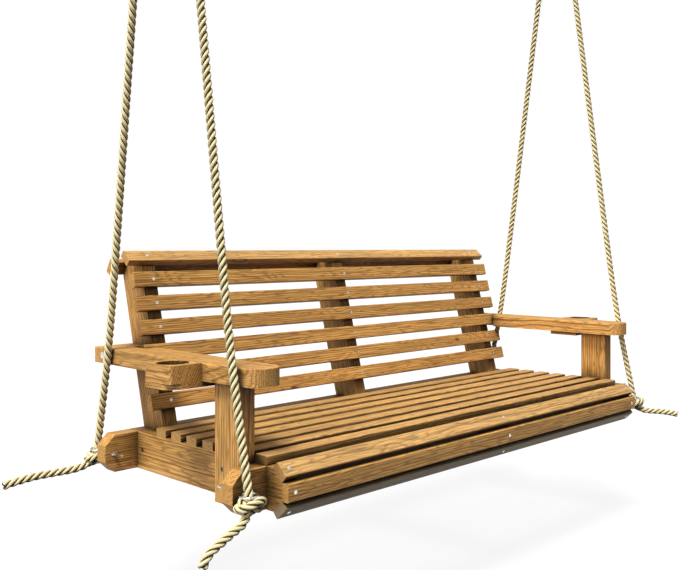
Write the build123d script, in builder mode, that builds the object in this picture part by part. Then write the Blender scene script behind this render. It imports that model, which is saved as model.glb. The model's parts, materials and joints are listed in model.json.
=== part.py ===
from build123d import *
import os
from math import atan2, cos, degrees, hypot, pi, radians, sin, tan

# Porch swing in softwood, hung by four laid ropes from two ceiling hangers.
# Frame: X along the seat, -Y to the front, +Z up. The origin is on the ceiling, midway between the hangers.
# "Seat coordinates" are the distance behind the front beam's front face, and the height above the beams' top.

os.makedirs("parts", exist_ok=True)

# Lumber
board_t = 38.0
board_h = 89.0
slat_w = 38.0
slat_t = 19.0
edge_r = 2.5

# Hanging
hang_drop = 1886.0
pin_drop = 40.0
beam_depth = 539.0
front_y = -beam_depth / 2
seat_z = -hang_drop

# Seat frame
beam_half = 782.0
beam_chamfer = 25.0
side_x = 698.5
post_depth = 89.0
arm_under = 164.0
centre_x = 19.0

# Seat slats
seat_slat_count = 7
seat_slat_w = 39.0
seat_pitch = 62.8

# Seat front, a facet above, a flat and a facet below
nose_y = -50.0
nose_top = -27.0
nose_bottom = -62.0
nose_start = -20.0

# Back
lean = 15.2
back_foot = 444.0
back_half = 694.0
back_slat_count = 6
back_slat_top = 393.0
back_pitch = 60.4
back_middle_screw = 3.5
cap_low = (552.0, 397.0)
cap_high = (582.0, 422.0)
roll_high = (616.0, 407.0)
roll_low = (637.0, 371.6)

# Arms and cup holders
arm_t = 38.0
arm_out = 758.0
arm_out_front = 749.0
arm_in = 667.0
arm_front = -26.0
arm_front_r = 36.0
arm_taper = 35.5
arm_notch_y = 466.0
arm_notch_x = 697.5
arm_rear = 518.0
block_rear = 599.0
cup_front = 142.0
cup_rear = 240.0
cup_out = 834.0
cup_plate_in = 690.0
cup_plate_t = 12.5
cup_x = 796.0
cup_r = 34.0
cup_corner = 34.0
cup_ring_corner = 8.0

# Eye bolts
eye_x = 761.0
eye_z = -43.0
eye_reach_front = 27.0
eye_reach_rear = 30.0
eye_r = 18.5
eye_wire = 3.0
eye_tail = 40.0
bolt_gap = 0.25
washer_r = 6.5
washer_t = 1.6
nut_flats = 10.0
nut_t = 5.0

# Frame bolts and slat screws
bolt_r = 3.0
bolt_head_r = 5.0
bolt_head_t = 4.0
bolt_sink = 1.5
bolt_socket = 4.0
bolt_socket_floor = 1.5
block_head_r = 8.0
block_head_t = 4.5
post_bolt = (99.0, -17.0)
foot_bolt = (479.0, -43.0)
arm_bolt = (562.0, 183.0)
arm_bolt_len = 125.0
screw_r = 2.2
screw_head_r = 4.0
screw_head_t = 3.0
screw_len = 36.0
screw_gap = 0.2

# Ropes, knots and hangers
rope_r = 9.0
loop_r = 18.0
splice_r = 10.0
splice_at = 24.0
loop_side = 9.5
foot_front_x = 764.5
foot_rear_x = 767.0
knot_r = 30.0
knot_half = 18.0
knot_round = 22.0
bend_share = 0.45
hanger_mid = 768.0
plate_x = 100.0
plate_y = 60.0
plate_t = 6.0
hole_x = 38.0
hole_y = 18.0
hole_r = 3.5
ear_gap = 19.0
ear_t = 6.0
ear_r = 20.0
pin_r = 8.0
pin_gap = 0.2
pin_flats = 24.0
pin_head_t = 10.0
pin_nut_t = 13.0
pin_spare = 6.0


def at(y, z):
    """Seat coordinates to the model's Y and Z."""
    return (front_y + y, seat_z + z)


def finish(piece, name):
    """Name one sub-part and write its file."""
    piece.label = name
    export_step(piece, "parts/" + name + ".step")


def profile_plane(x):
    """The plane across the swing at one X, with Y and Z as its axes."""
    return Plane.YZ.offset(x)


def facet_between(low, high):
    """The middle and the direction of a facet that carries a slat."""
    run = hypot(high[0] - low[0], high[1] - low[1])
    direction = ((high[0] - low[0]) / run, (high[1] - low[1]) / run)
    middle = ((low[0] + high[0]) / 2, (low[1] + high[1]) / 2)
    return middle, direction


def slat_plane(facet, x):
    """A plane along X whose local X follows the facet and whose local Y points outward."""
    (y, z), (dy, dz) = facet
    return Plane(origin=(x, *at(y, z)), x_dir=(0, dy, dz), z_dir=(1, 0, 0))


# Facets, each as (middle, direction); the outward side is a quarter turn to the left of the direction
back_line = (sin(radians(lean)), cos(radians(lean)))


def back_at(s):
    """A point on the uprights' front line, s along the slope above the beams' top."""
    return (back_foot + back_line[0] * s, back_line[1] * s)


def back_facet(index):
    """The facet of back slat number index, from the top down."""
    top = back_slat_top - back_pitch * index
    return back_at(top - slat_w / 2), back_line


facets = {
    "front_slat_upper": facet_between((nose_y, nose_top), (nose_start, 0.0)),
    "front_slat_middle": facet_between((nose_y, nose_bottom), (nose_y, nose_top)),
    "front_slat_lower": facet_between((nose_start, -board_h), (nose_y, nose_bottom)),
    "top_cap_slat": facet_between(cap_low, cap_high),
    "top_rear_slat": facet_between(roll_high, roll_low),
}
back_slats = ["back_slat_" + str(number + 1) for number in range(back_slat_count)]
for number, name in enumerate(back_slats):
    facets[name] = back_facet(number)

end_support = side_x - board_t / 2
end_upright = side_x - 1.5 * board_t
front_screw_x = (-end_support, centre_x + board_t / 2, end_support)
back_screw_x = (-end_upright, back_middle_screw, end_upright)


def screw_rows(name):
    """The X positions of the screws in one slat."""
    return front_screw_x if name.startswith("front_slat") else back_screw_x


def screw_axis(name, x):
    """A plane on a slat's face with its Z pointing out of the wood, at one screw."""
    (y, z), (dy, dz) = facets[name]
    out = (0, -dz, dy)
    base = at(y, z)
    return Plane(origin=(x, base[0] + out[1] * slat_t, base[1] + out[2] * slat_t), x_dir=(1, 0, 0), z_dir=out)


def rod(plane, radius, amount):
    """A round rod that stands on a plane."""
    with BuildPart() as round_bar:
        with BuildSketch(plane):
            Circle(radius)
        extrude(amount=amount)
    return round_bar.part


def screw_at(name, x, gap=0.0):
    """One countersunk screw of a slat, or its hole when a gap is given."""
    face = screw_axis(name, x)
    with BuildPart() as one_screw:
        with BuildSketch(face):
            Circle(screw_head_r + gap)
        extrude(amount=-screw_head_t - gap)
        with BuildSketch(face):
            Circle(screw_r + gap)
        extrude(amount=-screw_len - gap)
    return one_screw.part


def screw_holes(names, low_x, high_x):
    """The holes of the slats' screws that fall between two X positions."""
    return [screw_at(name, x, screw_gap) for name in names for x in screw_rows(name) if low_x < x < high_x]


def across(x, y, z, sign=1):
    """A plane at a point given in seat coordinates, facing along X."""
    return Plane(origin=(x, *at(y, z)), x_dir=(0, 1, 0), z_dir=(sign, 0, 0))


def rearward(x, y, z, sign=1):
    """A plane at a point given in seat coordinates, facing along Y."""
    return Plane(origin=(x, *at(y, z)), x_dir=(1, 0, 0), z_dir=(0, sign, 0))


def head_bore(x, place):
    """The sunk seat of a frame bolt's head, in a board's outer face at X."""
    return rod(across(x, *place, -1 if x > 0 else 1), bolt_head_r + bolt_gap, bolt_sink + bolt_head_t)


def upright_plane(x, y, z):
    """A plane at a point of the model, with X and Z as its axes."""
    return Plane(origin=(x, y, z), x_dir=(1, 0, 0), z_dir=(0, -1, 0))


supports = {
    "seat_support_left": -side_x,
    "seat_support_centre": centre_x,
    "seat_support_right": side_x - board_t,
}
uprights = {
    "back_upright_left": -side_x + board_t,
    "back_upright_centre": -centre_x,
    "back_upright_right": side_x - 2 * board_t,
}
beams = {"front_cross_beam": 0.0, "rear_cross_beam": beam_depth - board_t}

# Cross beams, on edge, with pointed ends and a half lap at every seat support
for name, y in beams.items():
    eye_bores = [rod(rearward(side * eye_x, y, eye_z), bolt_r + bolt_gap, board_t) for side in (-1, 1)]
    with BuildPart() as cross_beam:
        with BuildSketch(Plane.XZ.offset(-at(y, 0)[0])):
            Polygon(
                (-beam_half, seat_z - beam_chamfer),
                (-beam_half + beam_chamfer, seat_z),
                (beam_half - beam_chamfer, seat_z),
                (beam_half, seat_z - beam_chamfer),
                (beam_half, seat_z - board_h + beam_chamfer),
                (beam_half - beam_chamfer, seat_z - board_h),
                (-beam_half + beam_chamfer, seat_z - board_h),
                (-beam_half, seat_z - board_h + beam_chamfer),
                align=None,
            )
        extrude(amount=-board_t)
        fillet(cross_beam.edges().filter_by(Axis.X), edge_r)
        for x in supports.values():
            with BuildSketch(Plane.XY.offset(seat_z - board_h / 2)):
                with Locations((x + board_t / 2, front_y + y + board_t / 2)):
                    Rectangle(board_t, board_t)
            extrude(amount=board_h, mode=Mode.SUBTRACT)
        add(eye_bores, mode=Mode.SUBTRACT)
    finish(cross_beam.part, name)

# Seat supports, with the faceted nose and the half laps over both beams
nose_slats = ["front_slat_upper", "front_slat_middle", "front_slat_lower"]
for name, x in supports.items():
    bores = screw_holes(nose_slats, x, x + board_t)
    bores.append(rod(across(x, *foot_bolt), bolt_r + bolt_gap, board_t))
    bores.append(head_bore(x + board_t if x > 0 else x, foot_bolt))
    if name != "seat_support_centre":
        bores.append(rod(across(x, *post_bolt), bolt_r + bolt_gap, board_t))
    with BuildPart() as seat_support:
        with BuildSketch(profile_plane(x)):
            Polygon(
                at(beam_depth, 0),
                at(nose_start, 0),
                at(nose_y, nose_top),
                at(nose_y, nose_bottom),
                at(nose_start, -board_h),
                at(beam_depth, -board_h),
                align=None,
            )
        extrude(amount=board_t)
        for y in beams.values():
            with BuildSketch(Plane.XY.offset(seat_z - board_h / 2)):
                with Locations((x + board_t / 2, front_y + y + board_t / 2)):
                    Rectangle(board_t, board_t)
            extrude(amount=-board_h, mode=Mode.SUBTRACT)
        add(bores, mode=Mode.SUBTRACT)
    finish(seat_support.part, name)

# Back uprights, seated on the rear beam and faceted at the top for the rolled slats
back_rear = back_foot + board_h / cos(radians(lean))
for name, x in uprights.items():
    bores = screw_holes(back_slats + ["top_cap_slat", "top_rear_slat"], x, x + board_t)
    bores.append(rod(across(x, *foot_bolt), bolt_r + bolt_gap, board_t))
    if name != "back_upright_centre":
        bores.append(rod(across(x, *arm_bolt), bolt_r + bolt_gap, board_t))
    with BuildPart() as back_upright:
        with BuildSketch(profile_plane(x)):
            Polygon(
                at(back_foot - board_h * tan(radians(lean)), -board_h),
                at(beam_depth - board_t, -board_h),
                at(beam_depth - board_t, 0),
                at(back_rear, 0),
                at(*roll_low),
                at(*roll_high),
                at(*cap_high),
                at(*cap_low),
                align=None,
            )
        extrude(amount=board_t)
        add(bores, mode=Mode.SUBTRACT)
    finish(back_upright.part, name)

# Slats on the seat's nose, the back and the rolled top
for name, facet in facets.items():
    bores = screw_holes([name], -side_x, side_x)
    half_length = back_half if name in back_slats else side_x
    with BuildPart() as slat:
        with BuildSketch(slat_plane(facet, -half_length)):
            with Locations((0, slat_t / 2)):
                Rectangle(slat_w, slat_t)
        extrude(amount=2 * half_length)
        fillet(slat.edges().filter_by(Axis.X), edge_r)
        add(bores, mode=Mode.SUBTRACT)
    finish(slat.part, name)

# Seat slats, numbered from the back
for number in range(seat_slat_count):
    slat_front = seat_pitch * (seat_slat_count - 1 - number)
    with BuildPart() as seat_slat:
        with BuildSketch(profile_plane(-side_x)):
            with Locations(at(slat_front + seat_slat_w / 2, slat_t / 2)):
                Rectangle(seat_slat_w, slat_t)
        extrude(amount=2 * side_x)
        fillet(seat_slat.edges().filter_by(Axis.X), edge_r)
    finish(seat_slat.part, "seat_slat_" + str(number + 1))

sides = {"left": -1, "right": 1}
arm_z = seat_z + arm_under
for side_name, side in sides.items():
    # Arm post, behind the front beam and outside the seat support
    post_mid = side * (side_x + board_t / 2)
    post_bores = [
        rod(across(post_mid - board_t / 2, *post_bolt), bolt_r + bolt_gap, board_t),
        head_bore(side * (side_x + board_t), post_bolt),
    ]
    with BuildPart() as arm_post:
        with BuildSketch(Plane.XY.offset(seat_z - board_h)):
            with Locations((post_mid, front_y + board_t + post_depth / 2)):
                Rectangle(board_t, post_depth)
        extrude(amount=board_h + arm_under)
        fillet(arm_post.edges().filter_by(Axis.Z), edge_r)
        add(post_bores, mode=Mode.SUBTRACT)
    finish(arm_post.part, "arm_post_" + side_name)

    # Arm, rounded in front and notched round the ends of the back slats
    with BuildPart() as arm:
        with BuildSketch(Plane.XY.offset(arm_z)):
            Polygon(
                (side * arm_out, front_y + arm_rear),
                (side * arm_out, front_y + cup_front),
                (side * arm_out_front, front_y + arm_taper),
                (side * arm_out_front, front_y + arm_front),
                (side * arm_in, front_y + arm_front),
                (side * arm_in, front_y + arm_notch_y),
                (side * arm_notch_x, front_y + arm_notch_y),
                (side * arm_notch_x, front_y + arm_rear),
                align=None,
            )
        extrude(amount=arm_t)
        fillet(arm.edges().filter_by(Axis.Z).group_by(Axis.Y)[0], arm_front_r)
        fillet(arm.edges().group_by(Axis.Z)[-1], edge_r)
    finish(arm.part, "arm_" + side_name)

    # Block that carries the arm's rear end, bolted to the back upright
    block_in = side_x - board_t
    block_face = across(side * arm_out, *arm_bolt, -side)
    block_bores = [
        rod(block_face, bolt_r + bolt_gap, arm_out - block_in),
        rod(block_face, block_head_r + bolt_gap, block_head_t),
    ]
    with BuildPart() as arm_block:
        with BuildSketch(Plane.XY.offset(arm_z)):
            with Locations((side * (arm_out + block_in) / 2, front_y + (arm_rear + block_rear) / 2)):
                Rectangle(arm_out - block_in, block_rear - arm_rear)
        extrude(amount=arm_t)
        fillet(arm_block.edges().filter_by(Axis.X).group_by(Axis.Y)[-1], edge_r)
        fillet(arm_block.edges().filter_by(Axis.Y).sort_by(Axis.X)[:: 1 if side < 0 else -1][:2], edge_r)
        add(block_bores, mode=Mode.SUBTRACT)
    finish(arm_block.part, "arm_block_" + side_name)

    # Cup holder ring, level with the arm, and the plate that closes it underneath
    cup_mid = front_y + (cup_front + cup_rear) / 2
    cup_bore = rod(Plane(origin=(side * cup_x, cup_mid, arm_z)), cup_r, arm_t)
    with BuildPart() as cup_ring:
        with BuildSketch(Plane.XY.offset(arm_z)):
            with Locations((side * (cup_out + arm_out) / 2, cup_mid)):
                Rectangle(cup_out - arm_out, cup_rear - cup_front)
        extrude(amount=arm_t)
        fillet(cup_ring.edges().filter_by(Axis.Z).sort_by(Axis.X)[:: 1 if side < 0 else -1][:2], cup_ring_corner)
        add(cup_bore, mode=Mode.SUBTRACT)
    finish(cup_ring.part, "cup_ring_" + side_name)

    with BuildPart() as cup_plate:
        with BuildSketch(Plane.XY.offset(arm_z - cup_plate_t)):
            with Locations((side * (cup_out + cup_plate_in) / 2, cup_mid)):
                Rectangle(cup_out - cup_plate_in, cup_rear - cup_front)
        extrude(amount=cup_plate_t)
        outer = 0 if side < 0 else -1
        fillet(cup_plate.edges().filter_by(Axis.Z).group_by(Axis.Y)[0].sort_by(Axis.X)[outer], cup_corner)
        fillet(cup_plate.edges().filter_by(Axis.Z).group_by(Axis.Y)[-1].sort_by(Axis.X)[outer], cup_ring_corner)
    finish(cup_plate.part, "cup_plate_" + side_name)

# Eye bolts: the ring lies level outside the beam, the thread ends beyond the other face
eyes = {
    "front": (-eye_reach_front, board_t, 1),
    "rear": (beam_depth + eye_reach_rear, beam_depth - board_t, -1),
}
with BuildPart() as eye_bolts:
    for ring_y, far_y, sign in eyes.values():
        for side in (-1, 1):
            with BuildSketch(upright_plane(side * eye_x, front_y + ring_y, seat_z + eye_z)):
                with Locations((eye_r, 0)):
                    Circle(eye_wire)
            revolve(axis=Axis((side * eye_x, front_y + ring_y, 0), (0, 0, 1)))
            start = ring_y + sign * eye_r
            with BuildSketch(rearward(side * eye_x, start, eye_z, sign)):
                Circle(bolt_r)
            extrude(amount=abs(far_y - start) + eye_tail)
finish(eye_bolts.part, "eye_bolts")

with BuildPart() as eye_bolt_washers:
    for ring_y, far_y, sign in eyes.values():
        for side in (-1, 1):
            with BuildSketch(rearward(side * eye_x, far_y, eye_z, sign)):
                Circle(washer_r)
                Circle(bolt_r + bolt_gap, mode=Mode.SUBTRACT)
            extrude(amount=washer_t)
finish(eye_bolt_washers.part, "eye_bolt_washers")

with BuildPart() as eye_bolt_nuts:
    for ring_y, far_y, sign in eyes.values():
        for side in (-1, 1):
            with BuildSketch(rearward(side * eye_x, far_y + sign * washer_t, eye_z, sign)):
                RegularPolygon(nut_flats / 2, 6, major_radius=False)
                Circle(bolt_r + bolt_gap, mode=Mode.SUBTRACT)
            extrude(amount=nut_t)
finish(eye_bolt_nuts.part, "eye_bolt_nuts")

# Frame bolts: (outer face X, direction inward, seat coordinates) of posts and back feet
frame_bolt_axes = [
    (-side_x - board_t, 1, post_bolt),
    (side_x + board_t, -1, post_bolt),
    (-side_x, 1, foot_bolt),
    (side_x, -1, foot_bolt),
    (centre_x + board_t, -1, foot_bolt),
]
with BuildPart() as frame_bolts:
    for x, sign, (y, z) in frame_bolt_axes:
        head_x = x + sign * bolt_sink
        shank_x = head_x + sign * bolt_head_t
        with BuildSketch(across(head_x, y, z, sign)):
            Circle(bolt_head_r)
            RegularPolygon(bolt_socket / 2, 6, major_radius=False, mode=Mode.SUBTRACT)
        extrude(amount=bolt_head_t)
        with BuildSketch(across(shank_x, y, z, -sign)):
            Circle(bolt_head_r)
        extrude(amount=bolt_socket_floor)
        with BuildSketch(across(shank_x, y, z, sign)):
            Circle(bolt_r)
        extrude(amount=2 * board_t - bolt_sink - bolt_head_t + 2 * nut_t)
finish(frame_bolts.part, "frame_bolts")

with BuildPart() as frame_bolt_nuts:
    for x, sign, (y, z) in frame_bolt_axes:
        with BuildSketch(across(x + sign * 2 * board_t, y, z, sign)):
            RegularPolygon(nut_flats / 2, 6, major_radius=False)
            Circle(bolt_r + bolt_gap, mode=Mode.SUBTRACT)
        extrude(amount=nut_t)
finish(frame_bolt_nuts.part, "frame_bolt_nuts")

with BuildPart() as arm_block_bolts:
    for side in (-1, 1):
        with BuildSketch(across(side * arm_out, *arm_bolt, -side)):
            Circle(block_head_r)
        extrude(amount=block_head_t - bolt_gap)
        with BuildSketch(across(side * arm_out, *arm_bolt, -side)):
            Circle(bolt_r)
        extrude(amount=arm_bolt_len)
finish(arm_block_bolts.part, "arm_block_bolts")

every_screw = [screw_at(name, x) for name in facets for x in screw_rows(name)]
with BuildPart() as slat_screws:
    add(every_screw)
finish(slat_screws.part, "slat_screws")

# Ropes. Each one hangs from a loop round its hanger's pin and bows a little towards the swing's middle.
rope_line = [(66.0, 440.0), (31.0, 220.0), (-5.0, 60.0), (-30.0, eye_z - eye_wire)]
# Each tail's route, from its knot to the cut end, as (X, distance behind the front, height)
tails = {
    "front_left": [(-781, -35, -92), (-808, -37, -101), (-838, -38, -115), (-868, -38, -130), (-876, -36, -151)],
    "rear_left": [(-806, 575, -83), (-862, 586, -85), (-920, 597, -87), (-973, 608, -98)],
    "front_right": [(785, -48, -83), (806, -72, -86), (834, -100, -88), (872, -126, -98)],
    "rear_right": [(826, 576, -88), (886, 584, -99), (944, 596, -117), (992, 612, -147)],
}


def turn_radii(points):
    """The radius of every corner: a share of the shorter run over the tangent of half the turn."""
    radii = []
    for before, here, after in zip(points, points[1:], points[2:]):
        first = Vector(*here) - Vector(*before)
        second = Vector(*after) - Vector(*here)
        half_turn = radians(first.get_angle(second)) / 2
        radii.append(bend_share * min(first.length, second.length) / tan(half_turn))
    return radii


def tube(points):
    """A round tube of rope along a route of straight runs and tangent arcs."""
    radii = turn_radii(points)
    with BuildPart() as rope_tube:
        with BuildLine() as route:
            FilletPolyline(*points, radius=radii)
        path = route.wires()[0]
        with BuildSketch(Plane(origin=path @ 0, z_dir=path % 0)):
            Circle(rope_r)
        sweep(path=path)
    expected = pi * rope_r**2 * path.length
    print("radii", [round(r) for r in radii], "length", round(path.length), end=" ")
    print("volume ratio", round(rope_tube.part.volume / expected, 4))
    return rope_tube.part


for name, tail_route in tails.items():
    end_name, side_name = name.split("_")
    side = sides[side_name]
    mirrored = end_name == "rear"
    top_x = side * (hanger_mid + loop_side * (1 if mirrored else -1))
    foot_x = side * (foot_rear_x if mirrored else foot_front_x)

    # Rope from the loop on the pin to the top of the knot
    route = [at(beam_depth - y if mirrored else y, z) for y, z in rope_line]
    upper_y, upper_z = route[0]
    slope = hypot(upper_y, upper_z + pin_drop)
    top = (top_x, splice_at * upper_y / slope, -pin_drop + splice_at * (upper_z + pin_drop) / slope)
    lean_in = (foot_x - top_x) / (route[-1][1] + pin_drop)
    rope_points = [top] + [(top_x + lean_in * (z + pin_drop), y, z) for y, z in route]
    rope_body = tube(rope_points)
    with BuildPart() as rope:
        add(rope_body)
        with BuildSketch(upright_plane(top_x, 0, -pin_drop)):
            with Locations((0, loop_r)):
                Circle(rope_r)
        revolve(axis=Axis((top_x, 0, -pin_drop), (1, 0, 0)))
        with Locations(top):
            Sphere(splice_r)
    finish(rope.part, "rope_" + name)

    # Stopper knot under the eye, as one rounded solid
    knot_x, knot_y, _ = rope_points[-1]
    knot_z = seat_z + eye_z - eye_wire - knot_half
    with BuildPart() as knot:
        with BuildSketch(upright_plane(knot_x, knot_y, knot_z)):
            Ellipse(knot_r, knot_round)
            Rectangle(2 * knot_r, 2 * knot_half, mode=Mode.INTERSECT)
            with Locations((-knot_r / 2, 0)):
                Rectangle(knot_r, 2 * knot_half, mode=Mode.SUBTRACT)
        revolve(axis=Axis((knot_x, knot_y, 0), (0, 0, 1)))
    finish(knot.part, "knot_" + name)

    # Cut tail beyond the knot
    tail_points = [(x, *at(y, z)) for x, y, z in tail_route]
    knot_middle = Vector(knot_x, knot_y, knot_z)
    start = knot_middle + (Vector(*tail_points[0]) - knot_middle).normalized() * knot_half
    tail_body = tube([(start.X, start.Y, start.Z)] + tail_points)
    finish(tail_body, "rope_tail_" + name)

# Ceiling hangers: a plate with four holes, two ears and a pin along X
for side_name, side in sides.items():
    hanger_x = side * hanger_mid
    with BuildPart() as hanger:
        with BuildSketch(Plane.XY.offset(-plate_t)):
            with Locations((hanger_x, 0)):
                Rectangle(plate_x, plate_y)
            with Locations(*[(hanger_x + i * hole_x, j * hole_y) for i in (-1, 1) for j in (-1, 1)]):
                Circle(hole_r, mode=Mode.SUBTRACT)
        extrude(amount=plate_t)
        fillet(hanger.edges().filter_by(Axis.Z).group_by(SortBy.LENGTH)[0], edge_r)
        for ear in (-1, 1):
            ear_x = hanger_x + (ear_gap if ear > 0 else -ear_gap - ear_t)
            with BuildSketch(profile_plane(ear_x)):
                with Locations((0, -plate_t - (pin_drop - plate_t) / 2)):
                    Rectangle(2 * ear_r, pin_drop - plate_t)
                with Locations((0, -pin_drop)):
                    Circle(ear_r)
                with Locations((0, -pin_drop)):
                    Circle(pin_r + pin_gap, mode=Mode.SUBTRACT)
            extrude(amount=ear_t)
    finish(hanger.part, "hanger_" + side_name)

ear_out = ear_gap + ear_t
with BuildPart() as hanger_pins:
    for side in (-1, 1):
        head_x = side * (hanger_mid + ear_out)
        with BuildSketch(Plane(origin=(head_x, 0, -pin_drop), x_dir=(0, 1, 0), z_dir=(side, 0, 0))):
            RegularPolygon(pin_flats / 2, 6, major_radius=False)
        extrude(amount=pin_head_t)
        with BuildSketch(Plane(origin=(head_x, 0, -pin_drop), x_dir=(0, 1, 0), z_dir=(-side, 0, 0))):
            Circle(pin_r)
        extrude(amount=2 * ear_out + pin_nut_t + pin_spare)
finish(hanger_pins.part, "hanger_pins")

with BuildPart() as hanger_nuts:
    for side in (-1, 1):
        nut_x = side * (hanger_mid - ear_out)
        with BuildSketch(Plane(origin=(nut_x, 0, -pin_drop), x_dir=(0, 1, 0), z_dir=(-side, 0, 0))):
            RegularPolygon(pin_flats / 2, 6, major_radius=False)
            Circle(pin_r + pin_gap, mode=Mode.SUBTRACT)
        extrude(amount=pin_nut_t)
finish(hanger_nuts.part, "hanger_nuts")
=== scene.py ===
import json
import math
import random

import bpy
import numpy as np
from mathutils import Euler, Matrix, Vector


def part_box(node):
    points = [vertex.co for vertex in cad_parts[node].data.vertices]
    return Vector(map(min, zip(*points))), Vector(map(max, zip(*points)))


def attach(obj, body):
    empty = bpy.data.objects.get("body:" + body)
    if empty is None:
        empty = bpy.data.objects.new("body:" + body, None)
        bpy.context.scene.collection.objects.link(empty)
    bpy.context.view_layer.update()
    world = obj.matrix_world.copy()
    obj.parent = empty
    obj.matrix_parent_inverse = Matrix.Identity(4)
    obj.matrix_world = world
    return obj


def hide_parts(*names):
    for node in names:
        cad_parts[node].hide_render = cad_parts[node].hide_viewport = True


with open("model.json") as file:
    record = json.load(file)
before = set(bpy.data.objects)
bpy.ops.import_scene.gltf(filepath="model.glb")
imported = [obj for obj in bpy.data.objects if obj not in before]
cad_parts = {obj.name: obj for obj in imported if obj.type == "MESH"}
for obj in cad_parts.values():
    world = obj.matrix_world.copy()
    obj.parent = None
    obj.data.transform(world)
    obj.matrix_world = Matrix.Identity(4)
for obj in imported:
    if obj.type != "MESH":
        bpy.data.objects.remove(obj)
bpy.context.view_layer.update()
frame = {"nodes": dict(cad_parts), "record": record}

# Porch swing. Metres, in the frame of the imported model: X along the seat, -Y to the front, +Z up,
# with the origin on the ceiling, midway between the two hangers.

SWING = "swing"
SIDES = {"left": -1, "right": 1}
ENDS = ("front_left", "rear_left", "front_right", "rear_right")

# What the ropes are laid out from. SEAT_Z is the top of the cross beams, and PIN_Z is the middle of the
# hangers' pins.
SEAT_Z = -1.886
BEAM_DEPTH = 0.539
PIN_Z = -0.040
HANGER_X = 0.768
FOOT_X = {"front": 0.7645, "rear": 0.767}
FOOT_Z = -0.046
LOOP_SIDE = 0.0095
SPLICE_AT = 0.024
KNOT_HALF = 0.018

# Three-strand rope. Two of the ropes are laid right-handed and two left-handed. A strand is oval, with the
# half widths OUT and ACROSS, and its middle is CORE from the rope's middle.
ROPE_LAY = 0.052
HAND = {"front_left": 1, "rear_left": -1, "front_right": -1, "rear_right": 1}
STRAND_OUT = 0.0046
STRAND_ACROSS = 0.0042
STRAND_CORE = 0.0049
STRAND_SIDES = 14
ROPE_STEP = 0.0032
YARN_LAY = 0.050
LOOP_R = 0.018
FLARE = 0.012
WHIPPING_R = 0.0096
TWINE_R = 0.0008

# A front rope's route, as (distance behind the front beam's face, height above the beams). A rear rope's
# route mirrors it.
ROPE_LINE = [(0.066, 0.440), (0.031, 0.220), (-0.005, 0.060), (-0.030, FOOT_Z)]

# The tails' routes beyond their knots, as (X, distance behind the front beam's face, height above the beams)
TAILS = {
    "front_left": [(-0.781, -0.035, -0.092), (-0.808, -0.037, -0.101), (-0.838, -0.038, -0.115),
                   (-0.868, -0.038, -0.130), (-0.876, -0.036, -0.151)],
    "rear_left": [(-0.806, 0.575, -0.083), (-0.862, 0.586, -0.085), (-0.920, 0.597, -0.087),
                  (-0.973, 0.608, -0.098)],
    "front_right": [(0.785, -0.048, -0.083), (0.806, -0.072, -0.086), (0.834, -0.100, -0.088),
                    (0.872, -0.126, -0.098)],
    "rear_right": [(0.826, 0.576, -0.088), (0.886, 0.584, -0.099), (0.944, 0.596, -0.117),
                   (0.992, 0.612, -0.147)],
}


def at(y, z):
    """Seat coordinates to the model's Y and Z."""
    return (y - BEAM_DEPTH / 2, SEAT_Z + z)


# Camera: level, 0.44 m above the beams, in front of the swing and to its left
CAMERA_PLACE = (-1.8077, -1.6939, -1.4411)
CAMERA_YAW = -0.8258
LENS = 46.47
SHIFT = (-0.1065, -0.0561)


def make_camera():
    data = bpy.data.cameras.new("camera")
    data.sensor_width = 36.0
    data.lens = LENS
    data.shift_x, data.shift_y = SHIFT
    camera = bpy.data.objects.new("camera", data)
    camera.location = CAMERA_PLACE
    camera.rotation_euler = (math.pi / 2, 0.0, CAMERA_YAW)
    bpy.context.scene.collection.objects.link(camera)
    bpy.context.scene.camera = camera


# Node graphs


class Graph:
    """A few short ways to write a material's nodes."""

    def __init__(self, tree):
        self.tree = tree

    def node(self, kind, inputs=(), **settings):
        made = self.tree.nodes.new("ShaderNode" + kind)
        for key, value in settings.items():
            setattr(made, key, value)
        for key, value in dict(inputs).items():
            self.put(made.inputs[key], value)
        return made

    def put(self, socket, value):
        if isinstance(value, bpy.types.NodeSocket):
            self.tree.links.new(value, socket)
        else:
            socket.default_value = value

    def math(self, operation, *values):
        made = self.node("Math", operation=operation)
        for socket, value in zip(made.inputs, values):
            self.put(socket, value)
        return made.outputs[0]

    def vector(self, operation, *values):
        made = self.node("VectorMath", operation=operation)
        for socket, value in zip(made.inputs, values):
            self.put(socket, value)
        scalar = operation in ("LENGTH", "DOT_PRODUCT", "DISTANCE")
        return made.outputs["Value" if scalar else "Vector"]

    def noise(self, place, scale=1.0, detail=2.0, roughness=0.5, output=0):
        settings = {"Vector": place, "Scale": scale, "Detail": detail, "Roughness": roughness}
        return self.node("TexNoise", settings).outputs[output]

    def steps(self, value, low, high, to_low=0.0, to_high=1.0):
        """A smooth step, from to_low to to_high, as value goes from low to high."""
        settings = {"Value": value, "From Min": low, "From Max": high, "To Min": to_low, "To Max": to_high}
        return self.node("MapRange", settings, interpolation_type="SMOOTHSTEP").outputs[0]

    def mix(self, factor, first, second, blend="MIX"):
        made = self.node("Mix", data_type="RGBA", blend_type=blend)
        self.put(made.inputs[0], factor)
        self.put(made.inputs[6], first)
        self.put(made.inputs[7], second)
        return made.outputs[2]

    def grey(self, value):
        """A number as a grey colour."""
        return self.node("CombineColor", {"Red": value, "Green": value, "Blue": value}).outputs[0]


def new_material(name):
    """An empty material with its graph, its Principled shader and its output."""
    material = bpy.data.materials.new(name)
    material.use_nodes = True
    material.node_tree.nodes.clear()
    graph = Graph(material.node_tree)
    shader = graph.node("BsdfPrincipled")
    output = graph.node("OutputMaterial")
    graph.put(output.inputs["Surface"], shader.outputs[0])
    return material, graph, shader


# Wood

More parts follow.
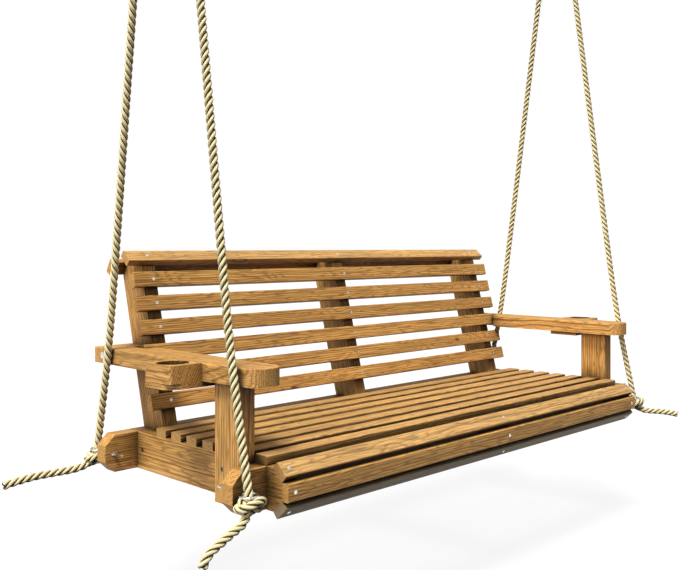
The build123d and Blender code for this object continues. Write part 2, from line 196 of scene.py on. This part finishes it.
EARLY = (0.88, 0.475, 0.140, 1.0)
LATE = (0.21, 0.075, 0.012, 1.0)
PORE = (0.13, 0.046, 0.009, 1.0)
# The pale grey-brown of the painted sheen
PAINTED_SHEEN_COLOUR = (0.40, 0.36, 0.22, 1.0)
RINGS_WANDER = 0.020
RINGS_RIPPLE = 0.0045
# How far the painted shade in crevices looks for nearby wood
PAINTED_SHADE_REACH = 0.11
WOOD_SHEEN = 0.16
UPRIGHT_LEAN = math.radians(15.2)


def wood_group():
    """Solid softwood, grain along Z: rings round a pith, fibres, pores, a knot, and painted shade in
    crevices.
    """
    tree = bpy.data.node_groups.new("solid_wood", "ShaderNodeTree")
    face = tree.interface
    for name, kind in (("Board", "Vector"), ("Normal", "Vector"), ("Pith", "Vector"), ("Pitch", "Float"),
                       ("Seed", "Float"), ("Tone", "Float"), ("Painted sheen", "Float"), ("Knot", "Vector")):
        face.new_socket(name, in_out="INPUT", socket_type="NodeSocket" + kind)
    for name, kind in (("Colour", "Color"), ("Roughness", "Float"), ("Height", "Float")):
        face.new_socket(name, in_out="OUTPUT", socket_type="NodeSocket" + kind)
    g = Graph(tree)
    given = tree.nodes.new("NodeGroupInput").outputs
    result = tree.nodes.new("NodeGroupOutput").inputs
    board = given["Board"]
    seed = g.node("CombineXYZ", {"X": given["Seed"], "Y": given["Seed"], "Z": given["Seed"]}).outputs[0]

    def stretched(across, along):
        return g.vector("ADD", g.vector("MULTIPLY", board, (across, across, along)), seed)

    # A knot pushes the rings round itself
    from_knot = g.vector("MULTIPLY", g.vector("SUBTRACT", board, given["Knot"]), (1.0, 1.0, 0.45))
    knot_far = g.vector("LENGTH", from_knot)
    knot_push = g.math("MULTIPLY", g.steps(knot_far, 0.002, 0.035, 1.0, 0.0), 0.009)
    knot_core = g.steps(knot_far, 0.0035, 0.0075, 1.0, 0.0)

    slow = g.vector("SUBTRACT", g.noise(stretched(7.0, 1.6), detail=3.0, output=1), (0.5, 0.5, 0.5))
    ripple = g.vector("SUBTRACT", g.noise(stretched(38.0, 9.0), detail=3.0, output=1), (0.5, 0.5, 0.5))
    bent = g.vector("SUBTRACT", board, given["Pith"])
    bent = g.vector("ADD", bent, g.vector("MULTIPLY", slow, (RINGS_WANDER,) * 3))
    bent = g.vector("ADD", bent, g.vector("MULTIPLY", ripple, (RINGS_RIPPLE,) * 3))
    flat = g.vector("MULTIPLY", bent, (1.0, 1.0, 0.0))
    radius = g.math("ADD", g.vector("LENGTH", flat), knot_push)
    rings = g.math("DIVIDE", radius, given["Pitch"])
    ring = g.math("FLOOR", rings)
    share = g.math("FRACT", rings)
    own = g.math("ADD", ring, given["Seed"])
    chance = g.node("TexWhiteNoise", {"W": own}, noise_dimensions="1D").outputs[0]
    rise = g.steps(share, 0.55, 0.82)
    fall = g.steps(share, 0.90, 1.0, 1.0, 0.0)
    late = g.math("MULTIPLY", g.math("MULTIPLY", rise, fall), g.math("MULTIPLY_ADD", chance, 0.60, 0.40))

    contour = g.math("FRACT", g.math("MULTIPLY", g.noise(stretched(36.0, 3.0), detail=2.0), 14.0))
    line = g.math("MULTIPLY", g.steps(contour, 0.45, 0.88), g.steps(contour, 0.90, 1.0, 1.0, 0.0))
    fibre = g.noise(stretched(380.0, 9.0), detail=3.0, roughness=0.6)
    coarse = g.noise(stretched(130.0, 3.5), detail=2.0)
    pores = g.steps(g.noise(stretched(800.0, 26.0), detail=1.0), 0.58, 0.70)
    slow_tone = g.noise(stretched(9.0, 1.6), detail=2.0)

    colour = g.mix(g.math("MULTIPLY", late, 0.88), EARLY, LATE)
    colour = g.mix(g.math("MULTIPLY", line, 0.52), colour, LATE)
    colour = g.mix(g.math("MULTIPLY", pores, 0.35), colour, PORE)
    colour = g.mix(g.math("MULTIPLY", knot_core, 0.8), colour, PORE)
    # Painted sheen: a pale grey-brown mixed over the whole board's colour
    colour = g.mix(given["Painted sheen"], colour, PAINTED_SHEEN_COLOUR)
    streak = g.steps(fibre, 0.25, 0.75, 0.70, 1.20)
    streak = g.math("MULTIPLY", streak, g.steps(coarse, 0.25, 0.75, 0.84, 1.12))
    streak = g.math("MULTIPLY", streak, g.steps(slow_tone, 0.25, 0.75, 0.92, 1.07))
    # Streaks run along the grain, so they fade on the ends of a board
    facing = g.math("ABSOLUTE", g.vector("DOT_PRODUCT", given["Normal"], (0.0, 0.0, 1.0)))
    fade = g.math("MULTIPLY", g.steps(facing, 0.75, 0.95), 0.75)
    streak = g.math("MULTIPLY_ADD", g.math("SUBTRACT", 1.0, streak), fade, streak)
    streak = g.math("MULTIPLY", streak, given["Tone"])
    # Painted shade: the colour darkens where ambient occlusion finds wood nearby, in the gaps between
    # boards, under the arms and the cap, and where parts meet
    painted_crevice_shade = g.node("AmbientOcclusion", {"Distance": PAINTED_SHADE_REACH}, samples=8).outputs["AO"]
    streak = g.math("MULTIPLY", streak, g.steps(painted_crevice_shade, 0.30, 0.94, 0.03, 1.0))
    colour = g.mix(1.0, colour, g.grey(streak), "MULTIPLY")
    g.put(result["Colour"], colour)
    g.put(result["Roughness"], g.math("MULTIPLY_ADD", fibre, 0.22, 0.40))
    height = g.math("MULTIPLY_ADD", fibre, 0.5, g.math("MULTIPLY", late, 0.5))
    g.put(result["Height"], g.math("SUBTRACT", height, g.math("MULTIPLY", pores, 0.4)))
    return tree


ARMS = ("arm_left", "arm_right")
GRAINS = {
    "X": Euler((0.0, -math.pi / 2, 0.0)),
    "Y": Euler((math.pi / 2, 0.0, 0.0)),
    "Z": Euler((0.0, 0.0, 0.0)),
    "lean": Euler((UPRIGHT_LEAN, 0.0, 0.0)),
}


def wood(group, name, grain, pith, pitch, tone, painted_sheen, seed, knot):
    """One board's own piece of wood. pith and knot are measured from the board's middle."""
    material, g, shader = new_material("wood_" + name)
    turn = GRAINS[grain]
    low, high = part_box(name)
    middle = turn.to_matrix() @ ((low + high) / 2)
    place = g.node("TexCoord").outputs
    board = g.node("Mapping", {"Vector": place["Object"], "Rotation": turn, "Location": -middle})
    normal = g.node("Mapping", {"Vector": place["Normal"], "Rotation": turn}, vector_type="VECTOR")
    made = g.node("Group", node_tree=group)
    given = {"Board": board.outputs[0], "Normal": normal.outputs[0], "Pith": pith, "Pitch": pitch,
             "Seed": seed, "Tone": tone, "Painted sheen": painted_sheen, "Knot": knot}
    for key, value in given.items():
        g.put(made.inputs[key], value)
    bump = g.node("Bump", {"Height": made.outputs["Height"], "Strength": 0.35, "Distance": 0.0006})
    g.put(shader.inputs["Base Color"], made.outputs["Colour"])
    g.put(shader.inputs["Roughness"], made.outputs["Roughness"])
    g.put(shader.inputs["Normal"], bump.outputs[0])
    shader.inputs["Specular IOR Level"].default_value = WOOD_SHEEN
    return material


def grain_of(name):
    """The way the fibres of a board run."""
    if name.startswith(("seat_support", "cup_ring", "cup_plate") + ARMS):
        return "Y"
    if name.startswith("back_upright"):
        return "lean"
    if name.startswith("arm_post"):
        return "Z"
    return "X"


# The arms are a little darker than the other boards
ARM_TONE = 0.93

# How much painted sheen a board gets, a pale grey-brown mixed into its colour: it stands in for the sky's
# sheen on the seat slats, the cap and the upper front slat, and for the greyish light reflected up from
# below onto the lower front slat
PAINTED_SHEEN_SHARE = {"front_slat_upper": 0.20, "front_slat_lower": 0.60, "top_cap_slat": 0.15}
PAINTED_SHEEN_SHARE.update({"seat_slat_%d" % number: 0.14 for number in range(1, 8)})


def paint_wood():
    """Each board gets its own place in a log, ring width, tone and knot."""
    group = wood_group()
    slots = {part["node"]: part["material_slot"] for part in frame["record"]["subparts"]}
    dice = random.Random(7)
    for name in sorted(frame["nodes"]):
        if not slots[name].startswith("wood"):
            continue
        angle = math.pi * (0.25 + 0.5 * dice.randrange(4) + dice.uniform(-0.09, 0.09))
        if name.startswith(("cup_ring",) + ARMS):
            angle = math.pi * dice.uniform(0.08, 0.14)
        far = dice.uniform(0.07, 0.14)
        pith = (far * math.cos(angle), far * math.sin(angle), 0.0)
        knot = (dice.uniform(-0.02, 0.02), dice.uniform(-0.02, 0.02), dice.uniform(-0.6, 0.6))
        pitch = dice.uniform(0.0042, 0.0058)
        tone = dice.uniform(0.92, 1.05) * (ARM_TONE if name.startswith(ARMS) else 1.0)
        made = wood(group, name, grain_of(name), pith, pitch, tone, PAINTED_SHEEN_SHARE.get(name, 0.0),
                    dice.uniform(0.0, 50.0), knot)
        dress(frame["nodes"][name], made)


def dress(piece, material):
    """Give a piece one material."""
    piece.data.materials.clear()
    piece.data.materials.append(material)


# Steel


def steel(name, colour, roughness):
    """Zinc-plated steel with faint blotches and fine scratches."""
    material, g, shader = new_material(name)
    place = g.node("TexCoord").outputs["Object"]
    blotch = g.noise(place, 180.0, 4.0, 0.65)
    scratch = g.noise(g.vector("MULTIPLY", place, (1400.0, 300.0, 300.0)), 1.0, 2.0)
    darker = tuple(0.62 * part for part in colour[:3]) + (1.0,)
    g.put(shader.inputs["Base Color"], g.mix(g.steps(blotch, 0.35, 0.7), colour, darker))
    g.put(shader.inputs["Roughness"], g.steps(scratch, 0.3, 0.7, roughness * 0.8, roughness * 1.3))
    bump = g.node("Bump", {"Height": scratch, "Strength": 0.12, "Distance": 0.0002})
    g.put(shader.inputs["Normal"], bump.outputs[0])
    shader.inputs["Metallic"].default_value = 1.0
    return material


def paint_steel():
    bright = steel("steel_bright", (0.92, 0.91, 0.88, 1.0), 0.20)
    # Painted shade: the frame bolts get darker steel, standing in for the shade in the recesses round their
    # heads
    dark = steel("steel_dark", (0.42, 0.40, 0.36, 1.0), 0.28)
    plated = steel("steel_plated", (0.80, 0.80, 0.77, 1.0), 0.18)
    galvanised = steel("steel_galvanised", (0.50, 0.52, 0.54, 1.0), 0.48)
    finishes = {
        "slat_screws": bright,
        "frame_bolts": dark,
        "arm_block_bolts": bright,
        "frame_bolt_nuts": plated,
        "eye_bolts": plated,
        "eye_bolt_washers": plated,
        "eye_bolt_nuts": plated,
        "hanger_left": galvanised,
        "hanger_right": galvanised,
        "hanger_pins": plated,
        "hanger_nuts": plated,
    }
    for name, material in finishes.items():
        dress(frame["nodes"][name], material)


# Rope


def rope_material():
    """Cream rope: yarns twisted within each strand, fuzz, stains, painted shade in the lines between the
    yarns, and painted shade in the grooves between the strands.
    """
    material, g, shader = new_material("rope_cream")
    uv = g.node("UVMap", uv_map="strand").outputs[0]
    place = g.node("TexCoord").outputs["Object"]
    parts = g.node("SeparateXYZ", {"Vector": uv}).outputs
    yarn = g.math("SINE", g.math("MULTIPLY", g.math("ADD", parts["X"], parts["Y"]), 2 * math.pi * 9.0))
    fuzz = g.noise(place, 900.0, 4.0, 0.7)
    stain = g.noise(place, 28.0, 2.0)
    # Painted shade: the grooves between the strands, on each strand's inward side, go near black
    outward = g.math("ABSOLUTE", g.math("SUBTRACT", g.math("FRACT", g.math("ADD", parts["X"], 0.5)), 0.5))
    groove_shade_mask = g.steps(outward, 0.15, 0.27)
    light = (1.0, 0.87, 0.52, 1.0)
    # The strands' shaded colour: painted shade in the lines between the yarns, and also the colour of the
    # stains
    shade_and_stain_colour = (0.84, 0.66, 0.33, 1.0)
    groove_shade_colour = (0.020, 0.012, 0.004, 1.0)
    yarn_shade_lines = g.steps(yarn, -1.0, 0.2, 1.0, 0.0)
    colour = g.mix(g.math("MULTIPLY", yarn_shade_lines, 0.45), light, shade_and_stain_colour)
    colour = g.mix(g.math("MULTIPLY", g.steps(stain, 0.4, 0.75), 0.30), colour, shade_and_stain_colour)
    colour = g.mix(g.math("MULTIPLY", groove_shade_mask, 0.96), colour, groove_shade_colour)
    tint = g.grey(g.steps(fuzz, 0.25, 0.75, 0.82, 1.10))
    g.put(shader.inputs["Base Color"], g.mix(1.0, colour, tint, "MULTIPLY"))
    height = g.math("MULTIPLY_ADD", yarn, 0.5, fuzz)
    bump = g.node("Bump", {"Height": height, "Strength": 0.6, "Distance": 0.0005})
    g.put(shader.inputs["Normal"], bump.outputs[0])
    shader.inputs["Roughness"].default_value = 0.88
    shader.inputs["Specular IOR Level"].default_value = 0.12
    return material


def spline_line(points, order, step):
    """Places every step along the NURBS spline that has these control points."""
    curve = bpy.data.curves.new("route", "CURVE")
    curve.dimensions = "3D"
    spline = curve.splines.new("NURBS")
    spline.points.add(len(points) - 1)
    for control, place in zip(spline.points, points):
        control.co = (*place, 1.0)
    spline.order_u = order
    spline.use_endpoint_u = True
    spline.resolution_u = 32
    holder = bpy.data.objects.new("route", curve)
    mesh = bpy.data.meshes.new_from_object(holder)
    places = np.array([vertex.co for vertex in mesh.vertices])
    bpy.data.objects.remove(holder)
    bpy.data.curves.remove(curve)
    bpy.data.meshes.remove(mesh)
    along = np.concatenate([[0.0], np.cumsum(np.linalg.norm(np.diff(places, axis=0), axis=1))])
    stations = np.linspace(0.0, along[-1], max(2, round(along[-1] / step) + 1))
    return np.stack([np.interp(stations, along, places[:, axis]) for axis in range(3)], axis=1)


def unit(vectors):
    return vectors / np.linalg.norm(vectors, axis=-1, keepdims=True)


def directions(line, closed):
    """The unit direction of a line at each of its points."""
    if closed:
        return unit(np.roll(line, -1, axis=0) - np.roll(line, 1, axis=0))
    return unit(np.gradient(line, axis=0))


def carried_frames(line, closed):
    """Two directions across a line at each of its points, carried along it without twist."""
    forward = directions(line, closed)
    start = np.cross(forward[0], (0.0, 0.0, 1.0) if abs(forward[0][2]) < 0.9 else (1.0, 0.0, 0.0))
    across = [unit(start)]
    for direction in forward[1:]:
        carried = across[-1] - direction * across[-1].dot(direction)
        across.append(unit(carried))
    across = np.array(across)
    return across, np.cross(forward, across)


def strand_line(line, number, hand, closed, flare):
    """The middle of one of three strands laid round a line, and its direction outwards from that line.
    An open line's strands spread apart over the last stretch, as long as flare."""
    across, over = carried_frames(line, closed)
    count = len(line)
    core = np.full(count, STRAND_CORE)
    if closed:
        length = np.linalg.norm(line - np.roll(line, 1, axis=0), axis=1).sum()
        turns = round(length / ROPE_LAY) * np.arange(count) / count
    else:
        length = np.concatenate([[0.0], np.cumsum(np.linalg.norm(np.diff(line, axis=0), axis=1))])
        turns = length / ROPE_LAY
        if flare:
            core *= 1 + 0.35 * np.clip((length - length[-1]) / flare + 1, 0.0, 1.0) ** 2
    angle = hand * 2 * math.pi * (turns + number / 3)
    outward = across * np.cos(angle)[:, None] + over * np.sin(angle)[:, None]
    return line + outward * core[:, None], outward


def tube_mesh(line, outward, out_r, across_r, closed, sides=STRAND_SIDES):
    """Vertices, faces and UVs of a tube, oval if its radii differ, with its ends drawn in if it is open."""
    forward = directions(line, closed)
    outward = unit(outward - forward * (outward * forward).sum(axis=1, keepdims=True))
    sideways = np.cross(forward, outward)
    angles = 2 * math.pi * np.arange(sides) / sides
    count = len(line)
    size = np.ones(count)
    if not closed:
        size[[0, -1]] = 0.72
    ring = (np.cos(angles)[None, :, None] * outward[:, None, :] * out_r
            + np.sin(angles)[None, :, None] * sideways[:, None, :] * across_r)
    points = (line[:, None, :] + ring * size[:, None, None]).reshape(-1, 3)
    step = np.linalg.norm(line - np.roll(line, 1, axis=0), axis=1)
    step[0] = 0.0
    along = np.cumsum(step) / YARN_LAY
    faces, marks = [], []
    last = count if closed else count - 1
    for row in range(last):
        after = (row + 1) % count
        low, high = along[row], along[after] if after else along[-1] + step[-1] / YARN_LAY
        for side in range(sides):
            beside = (side + 1) % sides
            corners = ((row, side), (row, beside), (after, beside), (after, side))
            faces.append(tuple(place * sides + turn for place, turn in corners))
            left, right = side / sides, (side + 1) / sides
            marks.extend([(left, low), (right, low), (right, high), (left, high)])
    if not closed:
        for row, order in ((0, range(sides - 1, -1, -1)), (count - 1, range(sides))):
            faces.append(tuple(row * sides + side for side in order))
            marks.extend([(side / sides, along[row]) for side in order])
    return points, faces, marks


def piece_from(name, parts, material):
    """One piece of rope from several meshes, riding on the swing."""
    points, faces, marks, offset = [], [], [], 0
    for part_points, part_faces, part_marks in parts:
        points.extend(part_points.tolist())
        faces.extend(tuple(offset + index for index in face) for face in part_faces)
        marks.extend(part_marks)
        offset += len(part_points)
    mesh = bpy.data.meshes.new(name)
    mesh.from_pydata(points, [], faces)
    layer = mesh.uv_layers.new(name="strand")
    layer.data.foreach_set("uv", np.array(marks, np.float32).ravel())
    mesh.polygons.foreach_set("use_smooth", [True] * len(mesh.polygons))
    mesh.materials.append(material)
    mesh.validate()
    piece = bpy.data.objects.new(name, mesh)
    bpy.context.scene.collection.objects.link(piece)
    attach(piece, SWING)
    return piece


def laid_rope(line, hand, closed=False, flare=0.0):
    """The three strands of a rope that follows a line."""
    parts = []
    for number in range(3):
        middle, outward = strand_line(line, number, hand, closed, flare)
        parts.append(tube_mesh(middle, outward, STRAND_OUT, STRAND_ACROSS, closed))
    return parts


def rope_route(end):
    """The control points of one rope, from the loop on its pin to the knot under its eye."""
    row, side_name = end.split("_")
    side = SIDES[side_name]
    rear = row == "rear"
    top_x = side * (HANGER_X + (LOOP_SIDE if rear else -LOOP_SIDE))
    route = [at(BEAM_DEPTH - y if rear else y, z) for y, z in ROPE_LINE]
    upper_y, upper_z = route[0]
    slope = math.hypot(upper_y, upper_z - PIN_Z)
    top = (top_x, SPLICE_AT * upper_y / slope, PIN_Z + SPLICE_AT * (upper_z - PIN_Z) / slope)
    lean = (side * FOOT_X[row] - top_x) / (route[-1][1] - PIN_Z)
    return [top] + [(top_x + lean * (z - PIN_Z), y, z) for y, z in route]


# The knot's rope, as (right, forwards, up) from the knot's middle in millimetres. KNOT_FACING is forwards.
KNOT_LINE = [
    (0, 0, 22), (0, 0, 13), (-5, -6, 9), (-12, -8, 13), (-15, 4, 12), (-11, 12, 7), (-1, 12, 0),
    (12, 6, -5), (22, -6, 1), (27, -6, 14), (21, 11, 14), (7, 22, 8), (-10, 21, 1), (-23, 8, -1),
    (-21, -8, -2), (-10, -14, -5), (0, -8, -8),
]
KNOT_FACING = (-0.72, -0.69, 0.0)


def knot_line(middle, tail):
    """The line of a stopper knot, from the rope above it to the start of its tail."""
    facing = unit(np.array(KNOT_FACING))
    right = np.array((-facing[1], facing[0], 0.0))
    up = np.array((0.0, 0.0, 1.0))
    points = [middle + 0.001 * (x * right + y * facing + z * up) for x, y, z in KNOT_LINE]
    start, beyond = np.array(tail[0]), np.array(tail[1])
    return spline_line(points + [start, start + 0.004 * unit(beyond - start)], 4, ROPE_STEP)


def loop_line(end):
    """The eye of the rope, round its hanger's pin."""
    x, _, _ = rope_route(end)[0]
    count = round(2 * math.pi * LOOP_R / ROPE_STEP)
    angles = 2 * math.pi * np.arange(count) / count
    return np.stack([np.full(count, x), LOOP_R * np.sin(angles), PIN_Z + LOOP_R * np.cos(angles)], axis=1)


def twine(line, radius, thick, turns):
    """A whipping of thin twine, wound round a line at the given radius."""
    count = 20 * turns
    across, over = carried_frames(line, False)
    stations = np.linspace(0, len(line) - 1, count)

    def between(values):
        rows = np.arange(len(line))
        return np.stack([np.interp(stations, rows, values[:, axis]) for axis in range(3)], axis=1)

    angle = 2 * math.pi * turns * np.arange(count) / count
    outward = unit(between(across) * np.cos(angle)[:, None] + between(over) * np.sin(angle)[:, None])
    return tube_mesh(between(line) + outward * radius, outward, thick, thick, False, 6)


def make_ropes():
    """Each rope with its loop, whipping and knot, and its cut tail beyond the knot."""
    cream = rope_material()
    for end in ENDS:
        hand = HAND[end]
        route = rope_route(end)
        line = spline_line(route, 3, ROPE_STEP)
        rope = piece_from("laid_rope_" + end, laid_rope(line, hand), cream)
        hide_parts("rope_" + end)
        loop = piece_from("rope_eye_" + end, laid_rope(loop_line(end), hand, closed=True), cream)
        whipping = piece_from("whipping_" + end, [twine(line[1:6], WHIPPING_R, TWINE_R, 9)], cream)

        middle = np.array(route[-1]) - (0.0, 0.0, KNOT_HALF)
        points = [Vector((x, *at(y, z))) for x, y, z in TAILS[end]]
        start = Vector(middle) + (points[0] - Vector(middle)).normalized() * KNOT_HALF
        tail_route = [tuple(point) for point in [start] + points]
        knot = piece_from("stopper_knot_" + end, laid_rope(knot_line(middle, tail_route), hand), cream)
        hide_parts("knot_" + end)

        line = spline_line(tail_route, 3, ROPE_STEP)
        tail = piece_from("laid_tail_" + end, laid_rope(line, hand, flare=FLARE), cream)
        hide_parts("rope_tail_" + end)


# Studio

FLOOR_DROP = 0.43
FLOOR_HALF = 30.0
FLOOR_GREY = (0.16, 0.16, 0.16, 1.0)
FLOOR_GLOW = 0.87
KEY_FROM = (-0.40, -0.20, 0.88)
KEY_STRENGTH = 3.3
KEY_ANGLE = 0.35
SIDE_FROM = (-1.0, -0.10, 0.20)
SIDE_STRENGTH = 1.3
SIDE_ANGLE = 0.8

# The ambient light at the horizon, and how much stronger it is straight above
AMBIENT_LEVEL = 0.12
AMBIENT_RISE = 0.26

# What glossy surfaces mirror: a bright sky, and a bright patch low in front on the right
SHINE_ABOVE = 1.0
SHINE_FRONT = 1.4
SHINE_FRONT_FROM = (0.71, -0.65, -0.27)


def add_sun(name, direction, strength, angle):
    lamp = bpy.data.lights.new(name, "SUN")
    lamp.energy = strength
    lamp.angle = angle
    sun = bpy.data.objects.new(name, lamp)
    sun.rotation_euler = Vector(direction).to_track_quat("Z", "Y").to_euler()
    bpy.context.scene.collection.objects.link(sun)


def make_floor():
    """A plain pale floor that the swing's shadow just shows on."""
    ways = ((-1, -1), (1, -1), (1, 1), (-1, 1))
    corners = [(x * FLOOR_HALF, y * FLOOR_HALF, SEAT_Z - FLOOR_DROP) for x, y in ways]
    mesh = bpy.data.meshes.new("floor")
    mesh.from_pydata(corners, [], [(0, 1, 2, 3)])
    floor = bpy.data.objects.new("floor", mesh)
    bpy.context.scene.collection.objects.link(floor)
    material, _, shader = new_material("floor_pale")
    shader.inputs["Base Color"].default_value = FLOOR_GREY
    shader.inputs["Roughness"].default_value = 1.0
    shader.inputs["Specular IOR Level"].default_value = 0.0
    shader.inputs["Emission Color"].default_value = (1.0, 1.0, 1.0, 1.0)
    shader.inputs["Emission Strength"].default_value = FLOOR_GLOW
    mesh.materials.append(material)
    floor.visible_diffuse = False


def make_light():
    """White surroundings and two soft suns."""
    world = bpy.data.worlds.new("studio")
    world.use_nodes = True
    world.node_tree.nodes.clear()
    g = Graph(world.node_tree)
    way = g.node("TexCoord").outputs["Generated"]
    height = g.node("SeparateXYZ", {"Vector": way}).outputs["Z"]
    ambient = g.math("MULTIPLY_ADD", height, AMBIENT_RISE, AMBIENT_LEVEL)
    front = g.steps(g.vector("DOT_PRODUCT", way, SHINE_FRONT_FROM), 0.86, 0.96, 0.0, SHINE_FRONT)
    shine = g.math("ADD", g.steps(height, 0.0, 0.6, 0.05, SHINE_ABOVE), front)
    rays = g.node("LightPath").outputs

    # The camera sees plain white, glossy rays see the shine, and all other rays the ambient light
    def chosen(ray, seen, otherwise):
        return g.math("MULTIPLY_ADD", rays[ray], g.math("SUBTRACT", seen, otherwise), otherwise)

    strength = chosen("Is Camera Ray", 1.0, chosen("Is Glossy Ray", shine, ambient))
    background = g.node("Background", {"Color": (1.0, 1.0, 1.0, 1.0), "Strength": strength})
    g.put(g.node("OutputWorld").inputs["Surface"], background.outputs[0])
    bpy.context.scene.world = world

    add_sun("key", KEY_FROM, KEY_STRENGTH, KEY_ANGLE)
    add_sun("side", SIDE_FROM, SIDE_STRENGTH, SIDE_ANGLE)
    bpy.context.scene.view_settings.view_transform = "Standard"


make_camera()
make_ropes()
paint_wood()
paint_steel()
make_floor()
make_light()
